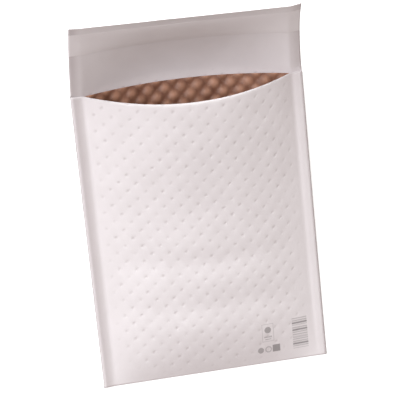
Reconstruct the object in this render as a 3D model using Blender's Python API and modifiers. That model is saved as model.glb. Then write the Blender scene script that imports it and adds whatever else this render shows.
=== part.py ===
# Padded paper mailer, lying on its back with the flap open and the mouth ajar.
# X runs across the mailer, +Y from the folded bottom to the mouth and flap, +Z up from the back panel.
# The origin is at the middle of the flat stretch of the back panel, on the surface it rests on.
# Everything is in metres.

import math

import bmesh
import bpy

# White kraft outer, one folded sheet
PANEL_WIDTH = 0.174
POUCH_LENGTH = 0.220
FLAP_LENGTH = 0.0575
FLAP_TAPER = 0.0030
SEAM_WIDTH = 0.0088
PAPER = 0.00025

# Brown cushioning sheet laminated inside it
LINING = 0.0002
BUBBLE_PITCH = 0.01235
BUBBLE_HEIGHT = 0.0020
DIMPLE_DEPTH = 0.0003
SEAM_CREASE = 0.0003

# Closing strip on the flap
STRIP_START = 0.0320
STRIP_WIDTH = 0.0188
GLUE_MARGIN = 0.0030
GLUE = 0.0003
RELEASE_PAPER = 0.0002

# How the empty mailer gapes: heights above the side seams, and above the surface it lies on
MOUTH_LIFT = 0.0110
MOUTH_BULGE = 0.0172
BODY_BULGE = 0.0105
FOLD_RUN = 0.045
MOUTH_RUN = 0.130
MOUTH_NARROWING = 0.0008
FRONT_DIP = 0.0128
BACK_RISE = 0.0051
FLAT_SHARE_AT_FOLD = 0.90
FLAT_SHARE_AT_MOUTH = 0.15
LEFT_EDGE_LIFT = 0.0020
RIGHT_EDGE_LIFT = 0.0004

# Soft creases that run across the front panel: distance from the fold, depth and half width of each
CREASES = ((0.0935, 0.0008, 0.0100), (0.0575, 0.0005, 0.0090))
CREASE_SLANT = 0.030

# The flap leaves the mouth at a low angle and curls up towards its edge
FLAP_START_ANGLE = math.radians(17.0)
FLAP_END_ANGLE = math.radians(56.5)
FLAP_CURL_POWER = 1.55
FLAP_STRAIGHTENS_AT = 0.85

# Clearance between sheets that touch, and how much further the lining hangs off the front panel
TOUCH_GAP = 0.00035
FRONT_SLACK = 0.0003

FLAP_ROWS = 8
FLAP_ARC_STEPS = 40
STRIP_ROWS = int(STRIP_WIDTH / (FLAP_LENGTH / FLAP_ROWS))
SMOOTH_ANGLE = math.radians(2.0)
CREASE_ANGLE = math.radians(25.0)

HALF_WIDTH = PANEL_WIDTH / 2
FOLD_Y = -POUCH_LENGTH / 2
MOUTH_Y = POUCH_LENGTH / 2
LINING_SEAM = 2 * LINING + SEAM_CREASE
SEAM_STACK = PAPER + 2 * TOUCH_GAP + LINING_SEAM
LINING_INSET = PAPER / 2 + TOUCH_GAP
BUBBLE_COLUMNS = round(2 * (HALF_WIDTH - SEAM_WIDTH) / (BUBBLE_PITCH / 2))
BUBBLE_ROWS = round(POUCH_LENGTH / (BUBBLE_PITCH / 2))


def smooth_step(value):
    """0 below 0, 1 above 1, with level ends."""
    t = min(max(value, 0.0), 1.0)
    return t * t * (3 - 2 * t)


def blend(low, high, share):
    return low + (high - low) * share


def edge_x(share):
    """Half width of the panels at a share of the way from the fold to the mouth."""
    return HALF_WIDTH - MOUTH_NARROWING * share


def seam_x(share):
    """Where the flat side seam begins, measured from the middle."""
    return edge_x(share) - SEAM_WIDTH


def crown(x, share):
    """1 on the centre line, 0 at the side seams and on them."""
    return max(0.0, 1 - (x / seam_x(share)) ** 2)


def seam_height(share):
    """Height of the side seams, which rise from the folded end to the mouth."""
    return MOUTH_LIFT * blend(share, share * share, 0.5)


def edge_lift(x, share):
    """How far the pressed side seam bends up, from nothing at its inner edge to the most at the mailer's edge."""
    into = max(abs(x) - seam_x(share), 0.0) / SEAM_WIDTH
    return into * (LEFT_EDGE_LIFT if x < 0 else RIGHT_EDGE_LIFT)


def back_height(x, share):
    """Middle of the paper of the back panel: flat along the centre, rising to the side seams."""
    inner = seam_x(share)
    flat = inner * blend(FLAT_SHARE_AT_FOLD, FLAT_SHARE_AT_MOUTH, share)
    rise = min(max((abs(x) - flat) / (inner - flat), 0.0), 1.0) ** 2
    return PAPER / 2 + seam_height(share) * rise + edge_lift(x, share)


def crease(x, length):
    """Depth of the soft creases at a distance from the fold, dying out at the side seams."""
    lines = ((length + CREASE_SLANT * x - middle) / half for middle, _, half in CREASES)
    depth = sum(deep * math.exp(-line * line) for line, (_, deep, _) in zip(lines, CREASES))
    return depth * crown(x, length / POUCH_LENGTH)


def front_height(x, share):
    """Middle of the paper of the front panel, bulging between the side seams."""
    length = share * POUCH_LENGTH
    bulge = BODY_BULGE * (1 - max(1 - length / FOLD_RUN, 0.0) ** 2)
    near_mouth = smooth_step(1 - (POUCH_LENGTH - length) / MOUTH_RUN)
    bulge += (MOUTH_BULGE - BODY_BULGE) * near_mouth
    seam = PAPER / 2 + seam_height(share) + SEAM_STACK + edge_lift(x, share)
    return seam + bulge * crown(x, share) - crease(x, length)


def front_y(x, share):
    """The front panel is drawn down where it bulges, so its free edge sags in the middle."""
    return FOLD_Y + share * (POUCH_LENGTH - FRONT_DIP * crown(x, share))


def back_y(x, share):
    return FOLD_Y + share * (POUCH_LENGTH + BACK_RISE * crown(x, share))


def room(x, share):
    """Clear height between the panels, above what the pressed side seam holds."""
    return front_height(x, share) - back_height(x, share) - SEAM_STACK


def relief(x, share):
    """How much of the full bubble height is left: none in the seams, all in the open body."""
    return smooth_step(room(x, share) / (3 * BUBBLE_HEIGHT))


def flap_path():
    """Points (along, up, angle) of the flap's side view, equally spaced along the paper."""
    points = [(0.0, 0.0, FLAP_START_ANGLE)]
    step = FLAP_LENGTH / FLAP_ARC_STEPS
    for index in range(FLAP_ARC_STEPS):
        share = (index + 0.5) / FLAP_ARC_STEPS
        angle = blend(FLAP_START_ANGLE, FLAP_END_ANGLE, share**FLAP_CURL_POWER)
        along, up, _ = points[-1]
        points.append((along + step * math.cos(angle), up + step * math.sin(angle), angle))
    return points


FLAP_PATH = flap_path()


def flap_point(x, length, lift):
    """A point on the flap, length along the paper from the mouth and lift above its inner side."""
    place = min(max(length / FLAP_LENGTH, 0.0), 1.0) * FLAP_ARC_STEPS
    index = min(int(place), FLAP_ARC_STEPS - 1)
    along, up, angle = (blend(a, b, place - index) for a, b in zip(FLAP_PATH[index], FLAP_PATH[index + 1]))
    share = length / FLAP_LENGTH
    level = PAPER / 2 + seam_height(1)
    hollow = (back_height(x, 1) - level) * (1 - smooth_step(share / FLAP_STRAIGHTENS_AT))
    rise = BACK_RISE * crown(x, 1) * (1 - share)
    narrowed = x * (1 - share * FLAP_TAPER / HALF_WIDTH)
    hollow += lift
    y = MOUTH_Y + rise + along - hollow * math.sin(angle)
    return narrowed, y, level + up + hollow * math.cos(angle)


def column_x(column, share, outer):
    """The grid's columns: one at each edge of the sheet, and one every half pitch between the seams."""
    if column == 0:
        return -outer
    if column == BUBBLE_COLUMNS + 2:
        return outer
    return seam_x(share) * (2 * (column - 1) / BUBBLE_COLUMNS - 1)


def panel(mesh, columns, rows, place):
    """A grid of columns by rows cells, each vertex put where place(column, row) says."""
    made = bmesh.ops.create_grid(mesh, x_segments=columns, y_segments=rows, size=1)["verts"]
    cells = {}
    for vertex in made:
        column = round((vertex.co.x + 1) / 2 * columns)
        row = round((vertex.co.y + 1) / 2 * rows)
        cells[column, row] = vertex
        vertex.co = place(column, row)
    return cells


def rim(cells, columns, rows):
    """The edges of a panel's two sides and its folded end."""
    path = [cells[0, row] for row in range(rows, -1, -1)]
    path += [cells[column, 0] for column in range(1, columns + 1)]
    path += [cells[columns, row] for row in range(1, rows + 1)]
    return [edge for a, b in zip(path, path[1:]) for edge in a.link_edges if b in edge.verts]


def row_edges(cells, columns, row):
    path = [cells[column, row] for column in range(columns + 1)]
    return [edge for a, b in zip(path, path[1:]) for edge in a.link_edges if b in edge.verts]


def simplify(mesh, vertices):
    """Drops vertices inside a smooth stretch, which its neighbours carry just as well."""
    inside = [v for v in vertices if not v.is_boundary]
    known = set(inside)
    edges = [e for e in mesh.edges if e.verts[0] in known and e.verts[1] in known]
    bmesh.ops.dissolve_limit(mesh, angle_limit=SMOOTH_ANGLE, verts=inside, edges=edges)


def finish(name, mesh, material, thickness=0.0):
    bmesh.ops.recalc_face_normals(mesh, faces=mesh.faces)
    bmesh.ops.triangulate(mesh, faces=mesh.faces)
    data = bpy.data.meshes.new(name)
    mesh.to_mesh(data)
    mesh.free()
    data.shade_smooth()
    data.set_sharp_from_angle(angle=CREASE_ANGLE)
    data.materials.append(material)
    part = bpy.data.objects.new(name, data)
    MAILER.objects.link(part)
    if thickness:
        wall = part.modifiers.new("thickness", "SOLIDIFY")
        wall.thickness = thickness
        wall.offset = 0
        wall.use_even_offset = True
    return part


def material(name, colour, roughness):
    made = bpy.data.materials.new(name)
    made.use_nodes = True
    shader = made.node_tree.nodes["Principled BSDF"]
    shader.inputs["Base Color"].default_value = (*colour, 1)
    shader.inputs["Roughness"].default_value = roughness
    shader.inputs["Metallic"].default_value = 0
    return made


def outer_envelope():
    """Front panel, bottom fold, back panel and flap: one sheet of white kraft, closed at both side seams."""
    mesh = bmesh.new()
    columns = BUBBLE_COLUMNS + 2

    def on_front(column, row):
        share = row / BUBBLE_ROWS
        x = column_x(column, share, edge_x(share))
        dimple = DIMPLE_DEPTH * relief(x, share) if (column + row) % 2 else 0.0
        return x, front_y(x, share), front_height(x, share) - dimple

    def on_back(column, row):
        share = min(row / BUBBLE_ROWS, 1)
        x = column_x(column, share, edge_x(share))
        if row > BUBBLE_ROWS:
            return flap_point(x, FLAP_LENGTH * (row - BUBBLE_ROWS) / FLAP_ROWS, 0)
        return x, back_y(x, share), back_height(x, share)

    front = panel(mesh, columns, BUBBLE_ROWS, on_front)
    back = panel(mesh, columns, BUBBLE_ROWS + FLAP_ROWS, on_back)
    bmesh.ops.bridge_loops(mesh, edges=rim(front, columns, BUBBLE_ROWS) + rim(back, columns, BUBBLE_ROWS))
    simplify(mesh, [back[column, row] for column, row in back if row < BUBBLE_ROWS])
    return finish("outer_envelope", mesh, WHITE_KRAFT, PAPER)


def bubble_lining():
    """Brown cushioning layer of both panels: smooth where it is glued to the kraft, bubbles towards the inside."""
    mesh = bmesh.new()
    outer_columns, inner_columns = BUBBLE_COLUMNS + 2, BUBBLE_COLUMNS
    end_inset = LINING_INSET / POUCH_LENGTH
    crease_inset = SEAM_WIDTH / 2 / POUCH_LENGTH

    def share_of(row, inset):
        return max(row / BUBBLE_ROWS, inset)

    def glued_front(x, share):
        return front_height(x, share) - LINING_INSET - (DIMPLE_DEPTH + FRONT_SLACK) * relief(x, share)

    def glued_back(x, share):
        return back_height(x, share) + LINING_INSET

    def bubble(column, row, x, share):
        return LINING + (BUBBLE_HEIGHT * relief(x, share) if (column + row) % 2 else 0.0)

    def outer_front(column, row):
        share = share_of(row, end_inset)
        x = column_x(column, share, edge_x(share) - LINING_INSET)
        return x, front_y(x, share), glued_front(x, share)

    def outer_back(column, row):
        share = share_of(row, end_inset)
        x = column_x(column, share, edge_x(share) - LINING_INSET)
        return x, back_y(x, share), glued_back(x, share)

    def inner_front(column, row):
        share = share_of(row, crease_inset)
        x = column_x(column + 1, share, 0)
        return x, front_y(x, share), glued_front(x, share) - bubble(column, row, x, share)

    def inner_back(column, row):
        share = share_of(row, crease_inset)
        x = column_x(column + 1, share, 0)
        return x, back_y(x, share), glued_back(x, share) + bubble(column, row, x, share)

    skins = []
    for columns, places in ((outer_columns, (outer_front, outer_back)), (inner_columns, (inner_front, inner_back))):
        pair = [panel(mesh, columns, BUBBLE_ROWS, place) for place in places]
        skins.append((columns, pair))
        for cells in pair:
            if columns == outer_columns:
                simplify(mesh, cells.values())
    mouths = []
    for columns, pair in skins:
        walls = [rim(cells, columns, BUBBLE_ROWS) for cells in pair]
        bmesh.ops.bridge_loops(mesh, edges=walls[0] + walls[1])
        corners = [(pair[0][column, BUBBLE_ROWS], pair[1][column, BUBBLE_ROWS]) for column in (0, columns)]
        sides = [e for a, b in corners for e in a.link_edges if b in e.verts]
        mouths += row_edges(pair[0], columns, BUBBLE_ROWS) + row_edges(pair[1], columns, BUBBLE_ROWS) + sides
    bmesh.ops.bridge_loops(mesh, edges=mouths)
    return finish("bubble_lining", mesh, BROWN_KRAFT)


def flap_strip(name, start, width, inset, lift, thickness, finish_material):
    """A band across the flap's inner side, its middle lifted above the paper's middle."""
    mesh = bmesh.new()

    def on_flap(column, row):
        x = column_x(column, 1, edge_x(1) - inset)
        return flap_point(x, start + width * row / STRIP_ROWS, lift)

    panel(mesh, BUBBLE_COLUMNS + 2, STRIP_ROWS, on_flap)
    return finish(name, mesh, finish_material, thickness)


for old in list(bpy.data.objects):
    bpy.data.objects.remove(old)
MAILER = bpy.data.collections.new("padded_mailer")
bpy.context.scene.collection.children.link(MAILER)
WHITE_KRAFT = material("white_kraft", (0.82, 0.77, 0.78), 0.75)
BROWN_KRAFT = material("brown_kraft", (0.36, 0.20, 0.13), 0.6)
HOT_MELT = material("hot_melt_glue", (0.80, 0.74, 0.60), 0.35)
RELEASE = material("release_paper", (0.78, 0.74, 0.74), 0.4)

outer_envelope()
bubble_lining()
GLUE_LIFT = PAPER / 2 + TOUCH_GAP + GLUE / 2
RELEASE_LIFT = GLUE_LIFT + GLUE / 2 + TOUCH_GAP + RELEASE_PAPER / 2
flap_strip(
    "adhesive_strip", STRIP_START + GLUE_MARGIN, STRIP_WIDTH - 2 * GLUE_MARGIN, GLUE_MARGIN, GLUE_LIFT, GLUE, HOT_MELT
)
flap_strip("release_strip", STRIP_START, STRIP_WIDTH, 0.0, RELEASE_LIFT, RELEASE_PAPER, RELEASE)
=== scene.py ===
import math

import bmesh
import bpy
from mathutils import Matrix, Vector, noise

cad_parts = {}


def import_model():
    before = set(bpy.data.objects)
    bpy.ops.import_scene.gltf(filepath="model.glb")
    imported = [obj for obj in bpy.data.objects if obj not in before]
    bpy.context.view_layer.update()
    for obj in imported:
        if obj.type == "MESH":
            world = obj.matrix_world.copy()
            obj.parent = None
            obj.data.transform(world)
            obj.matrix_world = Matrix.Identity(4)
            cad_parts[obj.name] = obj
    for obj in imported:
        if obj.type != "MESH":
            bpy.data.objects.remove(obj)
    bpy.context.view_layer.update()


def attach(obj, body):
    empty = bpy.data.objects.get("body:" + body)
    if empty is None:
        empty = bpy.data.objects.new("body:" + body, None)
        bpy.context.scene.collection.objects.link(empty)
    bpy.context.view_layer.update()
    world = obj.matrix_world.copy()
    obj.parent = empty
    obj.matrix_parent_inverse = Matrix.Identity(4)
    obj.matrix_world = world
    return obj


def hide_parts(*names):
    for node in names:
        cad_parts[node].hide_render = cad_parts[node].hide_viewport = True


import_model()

# The mailer's sheets, in metres: outlines as in the CAD, with thinner strips and slightly lower bubbles
PANEL_WIDTH = 0.174
POUCH_LENGTH = 0.220
FLAP_LENGTH = 0.0575
FLAP_TAPER = 0.0030
SEAM_WIDTH = 0.0088
PAPER = 0.00025
LINING = 0.0002
SEAM_STACK = 0.00165
BUBBLE_COLUMNS = 25
BUBBLE_ROWS = 36
HALF_PITCH = POUCH_LENGTH / BUBBLE_ROWS
BUBBLE_HEIGHT = 0.0019
STRIP_START = 0.0320
STRIP_WIDTH = 0.0188
GLUE_MARGIN = 0.0030
GLUE = 0.00014
GLUE_LIFT = 0.00021
RELEASE_PAPER = 0.00012
RELEASE_LIFT = 0.00036

# How the empty mailer gapes, as in the CAD
MOUTH_LIFT = 0.0110
MOUTH_BULGE = 0.0172
BODY_BULGE = 0.0105
FOLD_RUN = 0.045
MOUTH_RUN = 0.130
MOUTH_NARROWING = 0.0008
FRONT_DIP = 0.0128
BACK_RISE = 0.0051
FLAT_SHARE_AT_FOLD = 0.90
FLAT_SHARE_AT_MOUTH = 0.15
LEFT_EDGE_LIFT = 0.0020
RIGHT_EDGE_LIFT = 0.0004
CREASES = ((0.0935, 0.0008, 0.0100), (0.0575, 0.0005, 0.0090))
CREASE_SLANT = 0.030
FLAP_START_ANGLE = math.radians(17.0)
FLAP_END_ANGLE = math.radians(56.5)
FLAP_CURL_POWER = 1.55
FLAP_STRAIGHTENS_AT = 0.85
FLAP_ARC_STEPS = 60

# Finer relief of the paper, which the CAD leaves out
PIT_DEPTH = 0.00020
PIT_RADIUS = 0.0018
QUILT_DEPTH = 0.00004
COCKLE = 0.00030
COCKLE_SPACING = 0.028
SWELL = 0.0018
SWELL_MIDDLE = 0.40
SWELL_HALF = 0.17
SEAM_PRESS = 0.00025
SEAM_BEAD = 0.00012
LIP_ROLL = 0.00050
LIP_ROLL_RUN = 0.0016
FOLD_ROUND = 0.0011
STRIP_DROOP = 0.0016

# Mesh density
STEPS_PER_HALF_PITCH = 4
SEAM_STEPS = 7
FLAP_ROWS = 30
LINING_SEAM_SHARE = 0.3
LINING_SEAM_STEPS = 3
LINING_GAP = 0.00022
LINING_INSET = 0.0006
LINING_FOLD_RUN = 0.004
FINE_LINING_ROWS = 14

HALF_WIDTH = PANEL_WIDTH / 2
FOLD_Y = -POUCH_LENGTH / 2
MOUTH_Y = POUCH_LENGTH / 2

# Camera, fitted to the outline in the photo
CAMERA_TURN = math.radians(8.39)
CAMERA_TILT = math.radians(8.13)
CAMERA_ROLL = math.radians(-6.27)
CAMERA_DISTANCE = 0.8688
CAMERA_AIM = Vector((0.0, 0.018, 0.0))
FRAME_PIXELS = 400
FOCAL_PIXELS = 1155.7
SHIFT_PIXELS = (-1.09, 6.06)
SENSOR = 36.0


def smooth_step(value):
    t = min(max(value, 0.0), 1.0)
    return t * t * (3 - 2 * t)


def blend(low, high, share):
    return low + (high - low) * share


def bell(distance, half):
    return math.exp(-((distance / half) ** 2))


# Form of the mailer


def edge_x(share):
    return HALF_WIDTH - MOUTH_NARROWING * share


def seam_x(share):
    return edge_x(share) - SEAM_WIDTH


def crown(x, share):
    return max(0.0, 1 - (x / seam_x(share)) ** 2)


def seam_height(share):
    return MOUTH_LIFT * blend(share, share * share, 0.5)


def edge_lift(x, share):
    """How far the pressed side seam bends up: none at its inner edge, the most at its outer edge."""
    into = max(abs(x) - seam_x(share), 0.0) / SEAM_WIDTH
    return into * (LEFT_EDGE_LIFT if x < 0 else RIGHT_EDGE_LIFT)


def back_height(x, share):
    inner = seam_x(share)
    flat = inner * blend(FLAT_SHARE_AT_FOLD, FLAT_SHARE_AT_MOUTH, share)
    rise = min(max((abs(x) - flat) / (inner - flat), 0.0), 1.0) ** 2
    return PAPER / 2 + seam_height(share) * rise + edge_lift(x, share)


def crease(x, length):
    depth = 0.0
    for middle, deep, half in CREASES:
        depth += deep * bell(length + CREASE_SLANT * x - middle, half)
    return depth * crown(x, length / POUCH_LENGTH)


def front_height(x, share):
    length = share * POUCH_LENGTH
    bulge = BODY_BULGE * (1 - max(1 - length / FOLD_RUN, 0.0) ** 2)
    bulge += (MOUTH_BULGE - BODY_BULGE) * smooth_step(1 - (POUCH_LENGTH - length) / MOUTH_RUN)
    seam = PAPER / 2 + seam_height(share) + SEAM_STACK + edge_lift(x, share)
    return seam + bulge * crown(x, share) - crease(x, length)


def front_y(x, share):
    return FOLD_Y + share * (POUCH_LENGTH - FRONT_DIP * crown(x, share))


def back_y(x, share):
    return FOLD_Y + share * (POUCH_LENGTH + BACK_RISE * crown(x, share))


def relief(x, share):
    """How much of the full bubble height is left: none in the seams, all in the open body."""
    room = front_height(x, share) - back_height(x, share) - SEAM_STACK
    return smooth_step(room / (3 * BUBBLE_HEIGHT))


def flap_path():
    points = [(0.0, 0.0, FLAP_START_ANGLE)]
    step = FLAP_LENGTH / FLAP_ARC_STEPS
    for index in range(FLAP_ARC_STEPS):
        share = (index + 0.5) / FLAP_ARC_STEPS
        angle = blend(FLAP_START_ANGLE, FLAP_END_ANGLE, share**FLAP_CURL_POWER)
        along, up, _ = points[-1]
        points.append((along + step * math.cos(angle), up + step * math.sin(angle), angle))
    return points


FLAP_PATH = flap_path()


def flap_point(x, length, lift):
    place = min(max(length / FLAP_LENGTH, 0.0), 1.0) * FLAP_ARC_STEPS
    index = min(int(place), FLAP_ARC_STEPS - 1)
    along, up, angle = (blend(a, b, place - index) for a, b in zip(FLAP_PATH[index], FLAP_PATH[index + 1]))
    share = length / FLAP_LENGTH
    level = PAPER / 2 + seam_height(1)
    hollow = (back_height(x, 1) - level) * (1 - smooth_step(share / FLAP_STRAIGHTENS_AT))
    rise = BACK_RISE * crown(x, 1) * (1 - share)
    narrowed = x * (1 - share * FLAP_TAPER / HALF_WIDTH)
    hollow += lift
    y = MOUTH_Y + rise + along - hollow * math.sin(angle)
    return narrowed, y, level + up + hollow * math.cos(angle)


# Relief of the paper


def x_of(place, share):
    """Places run from -2 to 2: between -1 and 1 across the open panel, beyond that across a side seam."""
    inner = seam_x(share)
    if abs(place) <= 1:
        return place * inner
    return math.copysign(inner + (abs(place) - 1) * SEAM_WIDTH, place)


def lattice(place, share):
    """Column and row in the bubble grid, both in half pitches."""
    return (place + 1) / 2 * BUBBLE_COLUMNS, share * BUBBLE_ROWS


def pit(column, row):
    """Depth of the nearest pit, where two rows of bubbles leave a gap and the sheets are bonded."""
    deepest = 0.0
    for near_column in (math.floor(column), math.floor(column) + 1):
        for near_row in (math.floor(row), math.floor(row) + 1):
            if (near_column + near_row) % 2:
                away = math.hypot(column - near_column, row - near_row) * HALF_PITCH
                strength = 0.75 + 0.6 * noise.noise(Vector((near_column * 0.83, near_row * 0.71, 4.2)))
                deepest = max(deepest, strength * bell(away, PIT_RADIUS))
    return deepest


def quilt(column, row):
    return math.cos(math.pi * column) * math.cos(math.pi * row)


def cockle(x, y, layer):
    """Slow waves that a handled sheet keeps."""
    near = Vector((x / COCKLE_SPACING, y / COCKLE_SPACING, layer))
    return COCKLE * (noise.noise(near) + 0.4 * noise.noise(near * 2.3))


def seam_relief(place):
    """The pressed side seam: lower than the panel, with a bead along its inner edge on the right."""
    into = abs(place) - 1
    pressed = -SEAM_PRESS * smooth_step(into / 0.2) if into > 0 else 0.0
    bead = SEAM_BEAD * bell(into - 0.35, 0.10) if place > 0 else 0.0
    return pressed + bead


def seam_painted_shade(place, share):
    """Painted shade on the side seams: darkest at the outer edge, more on the left and on the flap than on
    the front's right seam. A little of it is the unlined paper's greyer tone.
    """
    into = smooth_step((abs(place) - 0.99) / 0.85)
    if place > 0:
        return into * (0.7 if share > 1 else 0.3)
    return into * (1.0 if share > 1 else 0.8)


def sheet_relief(place, share, layer):
    """Pits, quilting and waves together, as a height outwards from the pouch."""
    column, row = lattice(place, share)
    x = x_of(place, share)
    swell = SWELL * bell(share - SWELL_MIDDLE, SWELL_HALF)
    height = (cockle(x, share * POUCH_LENGTH, layer) + swell) * crown(x, share)
    if abs(place) < 1:
        height += relief(x, share) * (QUILT_DEPTH * quilt(column, row) - PIT_DEPTH * pit(column, row))
    return height


def front_point(place, share):
    x = x_of(place, share)
    length = share * POUCH_LENGTH
    low = back_height(x, share)
    high = front_height(x, share) + sheet_relief(place, share, 1.5) + seam_relief(place)
    high -= LIP_ROLL * smooth_step(1 - (POUCH_LENGTH - length) / LIP_ROLL_RUN) * crown(x, share)
    inwards = min(length, (2 - abs(place)) * SEAM_WIDTH) / FOLD_ROUND
    opened = math.sqrt(max(0.0, 1 - (1 - min(inwards, 1.0)) ** 2))
    return x, front_y(x, share), blend(low, high, opened)


def back_point(place, share):
    x = x_of(place, share)
    column, row = lattice(place, share)
    hollow = relief(x, share) * PIT_DEPTH * pit(column, row) if abs(place) < 1 else 0.0
    return x, back_y(x, share), back_height(x, share) + 0.6 * hollow


def flap_sheet_point(place, length, lift):
    """The flap keeps the side seams' crimp as two strips that droop a little outwards."""
    share = length / FLAP_LENGTH
    into = max(abs(place) - 1, 0.0)
    droop = (STRIP_DROOP if place > 0 else 0.2 * STRIP_DROOP) * into * smooth_step(share * 12)
    waves = 0.5 * cockle(x_of(place, 1), length, 7.1) * smooth_step(share * 4) * (1 - into)
    return flap_point(x_of(place, 1), length, lift - droop + waves)


# Meshes


def steps(low, high, count):
    return [blend(low, high, index / count) for index in range(count)]


def sheet(mesh, places, shares, put):
    """A grid with one vertex for each place and share, put where put(place, share) says.

    Its UV map counts the bubble grid's half pitches. "bubbled" says how much the bubbles show, and
    "pressed" how much painted shade darkens the side seams, a little of it the unlined paper's greyer tone.
    """
    bubbled = mesh.verts.layers.float.get("bubbled") or mesh.verts.layers.float.new("bubbled")
    pressed = mesh.verts.layers.float.get("pressed") or mesh.verts.layers.float.new("pressed")
    grid = mesh.loops.layers.uv.get("grid") or mesh.loops.layers.uv.new("grid")
    columns, rows = len(places) - 1, len(shares) - 1
    made = bmesh.ops.create_grid(mesh, x_segments=columns, y_segments=rows, size=1)["verts"]
    counts = {}
    for vertex in made:
        place = places[round((vertex.co.x + 1) / 2 * columns)]
        share = shares[round((vertex.co.y + 1) / 2 * rows)]
        counts[vertex] = lattice(place, share)
        if abs(place) < 1 and share <= 1:
            vertex[bubbled] = relief(x_of(place, share), share)
        vertex[pressed] = seam_painted_shade(place, share)
        vertex.co = put(place, share)
    for face in {face for vertex in made for face in vertex.link_faces}:
        for loop in face.loops:
            loop[grid].uv = counts[loop.vert]


def finished(name, mesh, finishes, thickness=0.0):
    bmesh.ops.recalc_face_normals(mesh, faces=mesh.faces)
    data = bpy.data.meshes.new(name)
    mesh.to_mesh(data)
    mesh.free()
    data.shade_smooth()
    for finish in finishes:
        data.materials.append(finish)
    piece = bpy.data.objects.new(name, data)
    bpy.context.scene.collection.objects.link(piece)
    if thickness:
        wall = piece.modifiers.new("thickness", "SOLIDIFY")
        wall.thickness = thickness
        wall.offset = 0
        wall.use_even_offset = True
    return piece


def fit(piece, node):
    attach(piece, "root")
    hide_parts(node)


def places_across(seam_share, seam_steps):
    inner = steps(-1, 1, BUBBLE_COLUMNS * STEPS_PER_HALF_PITCH)
    left = steps(-1 - seam_share, -1, seam_steps)
    right = [-place for place in reversed(left)]
    return left + inner + [1.0] + right


def mailer_sheet():
    """Front panel, bottom fold, back panel and flap: one folded sheet."""
    mesh = bmesh.new()
    places = places_across(1.0, SEAM_STEPS)
    near_fold = [part * FOLD_ROUND / POUCH_LENGTH for part in (0.0, 0.08, 0.4, 1.0)]
    rows = BUBBLE_ROWS * STEPS_PER_HALF_PITCH
    shares = near_fold + [row / rows for row in range(1, rows + 1)]
    flap = [1 + row / FLAP_ROWS for row in range(1, FLAP_ROWS)] + [2 - 0.0002 / FLAP_LENGTH, 2.0]

    def back_and_flap(place, share):
        if share > 1:
            return flap_sheet_point(place, FLAP_LENGTH * (share - 1), 0.0)
        return back_point(place, share)

    sheet(mesh, places, shares, front_point)
    front_faces = len(mesh.faces)
    sheet(mesh, places, shares + flap, back_and_flap)
    mesh.faces.ensure_lookup_table()
    for face in mesh.faces[front_faces:]:
        face.material_index = 1
    bmesh.ops.remove_doubles(mesh, verts=mesh.verts, dist=0.00002)
    papers = white_kraft("printed_kraft", True), white_kraft("plain_kraft", False)
    fit(finished("mailer_sheet", mesh, papers, PAPER), "outer_envelope")


def bubble(column, row):
    """Height of the embossed bubbles, 0 in the bonded valleys and 1 on the tops."""
    best = 0.0
    for near_column in (math.floor(column), math.floor(column) + 1):
        for near_row in (math.floor(row), math.floor(row) + 1):
            if (near_column + near_row) % 2:
                away = math.hypot(column - near_column, row - near_row)
                best = max(best, 1 - (away / 0.86) ** 2.2)
    return max(best, 0.0)


def bubble_web():
    """The brown lining: one embossed web, folded like the outer sheet and pinched in its side seams."""
    mesh = bmesh.new()
    places = places_across(LINING_SEAM_SHARE, LINING_SEAM_STEPS)
    shares = {row / BUBBLE_ROWS / 2 for row in range(1, (BUBBLE_ROWS - FINE_LINING_ROWS) * 2)}
    shares |= {1 - row / BUBBLE_ROWS / 4 for row in range(1, FINE_LINING_ROWS * 4 + 5)}
    shares.add(1 - LINING_INSET / POUCH_LENGTH)
    shares = sorted(shares)
    first = shares[0]

    def layer(place, share, side):
        x = x_of(place, share)
        column, row = lattice(place, share)
        shown = relief(x, share)
        low = back_height(x, share) + PAPER / 2 + LINING_GAP
        high = front_height(x, share) - PAPER / 2 - LINING_GAP
        high -= (PIT_DEPTH + COCKLE + QUILT_DEPTH) * shown
        raised = BUBBLE_HEIGHT * shown * bubble(column, row) if abs(place) < 1 else 0.0
        middle = (low + high) / 2
        inwards = (1 + LINING_SEAM_SHARE - abs(place)) / LINING_SEAM_SHARE
        upwards = (share - first) * POUCH_LENGTH / LINING_FOLD_RUN
        opened = smooth_step(min(inwards, upwards))
        if side > 0:
            return x, front_y(x, share), blend(middle, high - raised, opened)
        return x, back_y(x, share), blend(middle, low + raised, opened)

    sheet(mesh, places, shares, lambda place, share: layer(place, share, 1))
    sheet(mesh, places, shares, lambda place, share: layer(place, share, -1))
    bmesh.ops.remove_doubles(mesh, verts=mesh.verts, dist=0.00002)
    piece = finished("bubble_web", mesh, (brown_kraft(),), LINING)
    fit(piece, "bubble_lining")


def flap_band(name, seam_share, start, width, lift, count):
    """A band laid across the flap, its lift at the middle of its width and less along both edges."""
    mesh = bmesh.new()

    def on_flap(place, row):
        pressed = 0.55 + 0.45 * smooth_step(6 * min(row, 1 - row))
        return flap_sheet_point(place, start + width * row, lift * pressed)

    rows = [0.0, 0.008] + [row / count for row in range(1, count)] + [0.992, 1.0]
    sheet(mesh, places_across(seam_share, SEAM_STEPS), rows, on_flap)
    return mesh


def release_band():
    """The peel-off strip, from edge to edge of the flap."""
    mesh = flap_band("release_band", 0.985, STRIP_START, STRIP_WIDTH, RELEASE_LIFT, 14)
    fit(finished("release_band", mesh, (release_paper(),), RELEASE_PAPER), "release_strip")


def glue_band():
    """The closing glue under the peel-off strip."""
    start, width = STRIP_START + GLUE_MARGIN, STRIP_WIDTH - 2 * GLUE_MARGIN
    mesh = flap_band("glue_band", 0.7, start, width, GLUE_LIFT, 8)
    fit(finished("glue_band", mesh, (hot_melt(),), GLUE), "adhesive_strip")


# Shader maths


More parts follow.
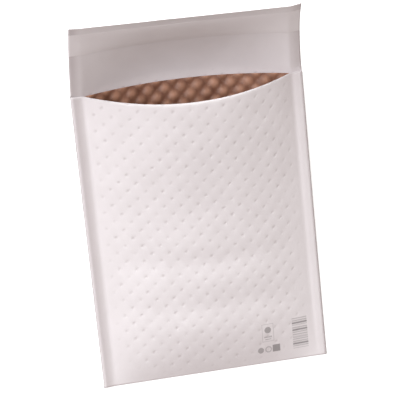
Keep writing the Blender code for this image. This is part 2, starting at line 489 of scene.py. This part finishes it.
class Value:
    """A shader socket that adds its Math nodes when it is worked with."""

    def __init__(self, shader, socket):
        self.shader = shader
        self.socket = socket

    def math(self, operation, *others):
        return self.shader.node("ShaderNodeMath", {"operation": operation}, self, *others)

    def __add__(self, other):
        return self.math("ADD", other)

    __radd__ = __add__

    def __sub__(self, other):
        return self.math("SUBTRACT", other)

    def __rsub__(self, other):
        return self.shader.node("ShaderNodeMath", {"operation": "SUBTRACT"}, other, self)

    def __mul__(self, other):
        return self.math("MULTIPLY", other)

    __rmul__ = __mul__

    def within(self, middle, half):
        """1 where the value lies within half of middle, otherwise 0."""
        return self.math("COMPARE", middle, half)


class Shader:
    """A new material whose nodes are added one call at a time."""

    def __init__(self, name):
        self.material = bpy.data.materials.new(name)
        self.material.use_nodes = True
        self.tree = self.material.node_tree
        self.surface = self.tree.nodes["Principled BSDF"]

    def set(self, socket, value):
        if isinstance(value, Value):
            self.tree.links.new(value.socket, socket)
        else:
            socket.default_value = value

    def node(self, kind, settings, *values, out=0, **named):
        made = self.tree.nodes.new(kind)
        for name, value in settings.items():
            setattr(made, name, value)
        for socket, value in zip(made.inputs, values):
            self.set(socket, value)
        for name, value in named.items():
            self.set(made.inputs[name.replace("_", " ")], value)
        return Value(self, made.outputs[out])

    def place(self):
        return self.node("ShaderNodeTexCoord", {}, out="Object")

    def attribute(self, name):
        return self.node("ShaderNodeAttribute", {"attribute_name": name}, out="Fac")

    def split(self, vector):
        made = self.tree.nodes.new("ShaderNodeSeparateXYZ")
        self.set(made.inputs[0], vector)
        return Value(self, made.outputs["X"]), Value(self, made.outputs["Y"])

    def noise(self, place, scale, detail, roughness=0.5):
        settings = {"Vector": place, "Scale": scale, "Detail": detail, "Roughness": roughness}
        return self.node("ShaderNodeTexNoise", {}, **settings)

    def ramp(self, value, low, high):
        """0 where the value is at low, 1 where it is at high."""
        smooth = {"interpolation_type": "SMOOTHSTEP"}
        return self.node("ShaderNodeMapRange", smooth, value, low, high, 0.0, 1.0)

    def mix(self, factor, first, second, kind="MIX"):
        made = self.tree.nodes.new("ShaderNodeMix")
        made.data_type = "RGBA"
        made.blend_type = kind
        self.set(made.inputs["Factor"], factor)
        colours = [socket for socket in made.inputs if socket.type == "RGBA"]
        for socket, value in zip(colours, (first, second)):
            self.set(socket, value if isinstance(value, Value) else (*value, 1))
        return Value(self, next(socket for socket in made.outputs if socket.type == "RGBA"))

    def bump(self, height, distance, strength=1.0):
        settings = {"Strength": strength, "Distance": distance, "Height": height}
        self.set(self.surface.inputs["Normal"], self.node("ShaderNodeBump", {}, out="Normal", **settings))

    def finish(self, **values):
        for name, value in values.items():
            constant = (*value, 1) if isinstance(value, tuple) else value
            self.set(self.surface.inputs[name.replace("_", " ")], constant)
        return self.material


WHITE = (0.845, 0.785, 0.795)
WHITE_SHADE = (0.795, 0.735, 0.742)
PIT_PAINTED_SHADE = (0.52, 0.45, 0.45)
SEAM_PAINTED_SHADE = (0.62, 0.55, 0.555)
INK = (0.19, 0.17, 0.17)
BROWN_PALE_AND_LIT = (0.60, 0.315, 0.205)
BROWN_DEEP_AND_SHADED = (0.215, 0.090, 0.052)
BROWN_PAINTED_SHEEN = (0.66, 0.43, 0.31)
FRAME_MARK = (0.0408, -0.0843)
BAR_MARK = (0.0668, -0.0888)


def block(x, y, middle, half):
    return x.within(middle[0], half[0]) * y.within(middle[1], half[1])


def distance(x, y, middle):
    across, along = x - middle[0], y - middle[1]
    return (across * across + along * along).math("SQRT")


def pits(shader):
    """1 at the middle of each bonded pit and 0 away from it, read off the bubble grid's UV map."""
    grid = shader.node("ShaderNodeUVMap", {"uv_map": "grid"})
    wander = shader.noise(grid, 0.9, 1.0)
    column, row = shader.split(grid)
    column += wander * 0.16 - 0.08
    half = ((column + row) * 0.5).math("FRACT") - 0.5
    other = ((column - row) * 0.5).math("FRACT") - 0.5
    slant = shader.noise(grid, 0.31, 0.0) * 1.6 + 0.5
    away = ((half * half * slant + other * other * 2.6) * 1.4).math("SQRT")
    bubbled = shader.attribute("bubbled")
    strength = shader.ramp(shader.noise(grid, 0.45, 2.0), 0.28, 0.62) * 0.75 + 0.25
    return shader.ramp(away, 0.34, 0.03) * bubbled * strength


def print_marks(shader, place):
    """Plain marks low on the right: a frame with a disc and lines, a dot, a ring, a block and even bars."""
    x, y = shader.split(place)
    outline = block(x, y, FRAME_MARK, (0.0047, 0.0072)) - block(x, y, FRAME_MARK, (0.0043, 0.0068))
    disc = distance(x, y, (FRAME_MARK[0], FRAME_MARK[1] + 0.0022)).within(0.0, 0.0026)
    lines = block(x, y, (FRAME_MARK[0], -0.0877), (0.0031, 0.0006))
    lines += block(x, y, (FRAME_MARK[0], -0.0896), (0.0024, 0.0004))
    solid = block(x, y, (0.0470, -0.0978), (0.0030, 0.0029))
    ring = distance(x, y, (0.0407, -0.0981)).within(0.0022, 0.0005)
    dot = distance(x, y, (0.0346, -0.0982)).within(0.0, 0.0024)
    thin = (y * 540.0).math("FRACT").within(0.5, 0.20)
    thick = (y * 180.0).math("FRACT").within(0.5, 0.15)
    gaps = (y * 118.0 + 0.3).math("FRACT").within(0.5, 0.08) * -0.6 + 1.0
    bars = block(x, y, BAR_MARK, (0.0062, 0.0122)) * (thin * 0.35 + thick * 0.35 + 0.10) * gaps
    return outline * 0.35 + disc * 0.60 + lines * 0.45 + solid * 0.70 + ring * 0.40 + dot * 0.55 + bars


def white_kraft(name, printed):
    shader = Shader(name)
    place = shader.place()
    cloud = shader.ramp(shader.noise(place, 55.0, 3.0), 0.35, 0.68)
    fibre = shader.noise(place, 900.0, 4.0, 0.6)
    flecks = shader.ramp(fibre, 0.62, 0.80)
    colour = shader.mix(cloud * 0.5, WHITE, WHITE_SHADE)
    colour = shader.mix(flecks * 0.25, colour, WHITE_SHADE)
    pit_mask = pits(shader)
    # Painted shade: the colour is darkened in the pits, on top of the shading from the bump.
    colour = shader.mix(pit_mask * 0.40, colour, PIT_PAINTED_SHADE)
    # Painted shade along the side seams, a little of it the unlined paper's greyer tone.
    colour = shader.mix(shader.attribute("pressed") * 0.75, colour, SEAM_PAINTED_SHADE)
    if printed:
        colour = shader.mix(print_marks(shader, place), colour, INK)
    shader.bump(fibre * 0.20 + shader.noise(place, 260.0, 2.0) * 0.30 - pit_mask, 0.00013)
    return shader.finish(Base_Color=colour, Roughness=shader.noise(place, 300.0, 2.0) * 0.15 + 0.66)


def brown_kraft():
    shader = Shader("brown_kraft")
    place = shader.place()
    column, row = shader.split(shader.node("ShaderNodeUVMap", {"uv_map": "grid"}))
    half = ((column + row) * 0.5).math("FRACT") - 0.5
    other = ((column - row) * 0.5).math("FRACT") - 0.5
    top = shader.ramp(((half * half + other * other) * 2.0).math("SQRT"), 0.85, 0.10)
    streaks = shader.noise(place, 420.0, 4.0, 0.65)
    patches = shader.ramp(shader.noise(place, 130.0, 2.0), 0.30, 0.75)
    # Painted light and shade: the bubble tops are painted lighter and the valleys darker. Random patches
    # vary the brown's own tone as well.
    colour = shader.mix(top * 0.60 + patches * 0.35, BROWN_DEEP_AND_SHADED, BROWN_PALE_AND_LIT)
    # Painted sheen in random streaks on the brown lining.
    colour = shader.mix(shader.ramp(streaks, 0.50, 0.80) * 0.25, colour, BROWN_PAINTED_SHEEN)
    shader.bump(streaks * 0.15 + top, 0.00040)
    return shader.finish(Base_Color=colour, Roughness=streaks * 0.2 + 0.42)


def release_paper():
    shader = Shader("release_paper")
    place = shader.place()
    haze = shader.noise(place, 70.0, 2.0)
    colour = shader.mix(haze, (0.89, 0.83, 0.835), (0.85, 0.785, 0.795))
    shader.bump(shader.noise(place, 220.0, 2.0), 0.00004, 0.6)
    return shader.finish(Base_Color=colour, Roughness=haze * 0.1 + 0.38)


def hot_melt():
    shader = Shader("hot_melt_glue")
    place = shader.place()
    strings = shader.noise(place, 500.0, 3.0)
    colour = shader.mix(strings, (0.84, 0.78, 0.62), (0.74, 0.66, 0.48))
    shader.bump(strings, 0.0001, 0.8)
    return shader.finish(Base_Color=colour, Roughness=strings * 0.2 + 0.25)


# Studio


def camera():
    data = bpy.data.cameras.new("camera")
    data.sensor_width = SENSOR
    data.lens = FOCAL_PIXELS / FRAME_PIXELS * SENSOR
    data.shift_x = -SHIFT_PIXELS[0] / FRAME_PIXELS
    data.shift_y = SHIFT_PIXELS[1] / FRAME_PIXELS
    towards = Vector(
        (
            -math.sin(CAMERA_TURN) * math.cos(CAMERA_TILT),
            math.sin(CAMERA_TILT),
            math.cos(CAMERA_TURN) * math.cos(CAMERA_TILT),
        )
    )
    right = (-towards).cross(Vector((0, 1, 0))).normalized()
    up = right.cross(-towards)
    turn = Matrix((right, up, towards)).transposed() @ Matrix.Rotation(CAMERA_ROLL, 3, "Z")
    made = bpy.data.objects.new("camera", data)
    made.matrix_world = Matrix.Translation(CAMERA_AIM + towards * CAMERA_DISTANCE) @ turn.to_4x4()
    bpy.context.scene.collection.objects.link(made)
    bpy.context.scene.camera = made


def sun(name, energy, colour, direction):
    data = bpy.data.lights.new(name, "SUN")
    data.energy = energy
    data.angle = math.radians(40)
    data.color = colour
    made = bpy.data.objects.new(name, data)
    made.rotation_euler = Vector(direction).to_track_quat("Z", "Y").to_euler()
    bpy.context.scene.collection.objects.link(made)


def world():
    made = bpy.data.worlds.new("studio")
    made.use_nodes = True
    back = made.node_tree.nodes["Background"]
    back.inputs["Color"].default_value = (1.0, 0.87, 0.79, 1)
    back.inputs["Strength"].default_value = 0.352
    bpy.context.scene.world = made


def floor():
    mesh = bmesh.new()
    bmesh.ops.create_grid(mesh, x_segments=1, y_segments=1, size=3.0)
    for vertex in mesh.verts:
        vertex.co.z = -0.0002
    piece = finished("floor", mesh, (floor_finish(),))


def floor_finish():
    shader = Shader("floor")
    path = shader.tree.nodes.new("ShaderNodeLightPath")
    seen = Value(shader, path.outputs["Is Camera Ray"])
    shader.set(shader.surface.inputs["Emission Strength"], seen * 0.62)
    return shader.finish(Base_Color=(0.9, 0.9, 0.9), Roughness=0.9, Emission_Color=(1.0, 1.0, 1.0))


camera()
sun("left_light", 1.78, (0.956, 0.995, 1.05), (-0.621, 0.166, 0.766))
sun("far_light", 3.22, (0.944, 1.023, 1.032), (-0.168, 0.951, 0.259))
world()
floor()
mailer_sheet()
bubble_web()
glue_band()
release_band()

bpy.context.scene.view_settings.view_transform = "Standard"
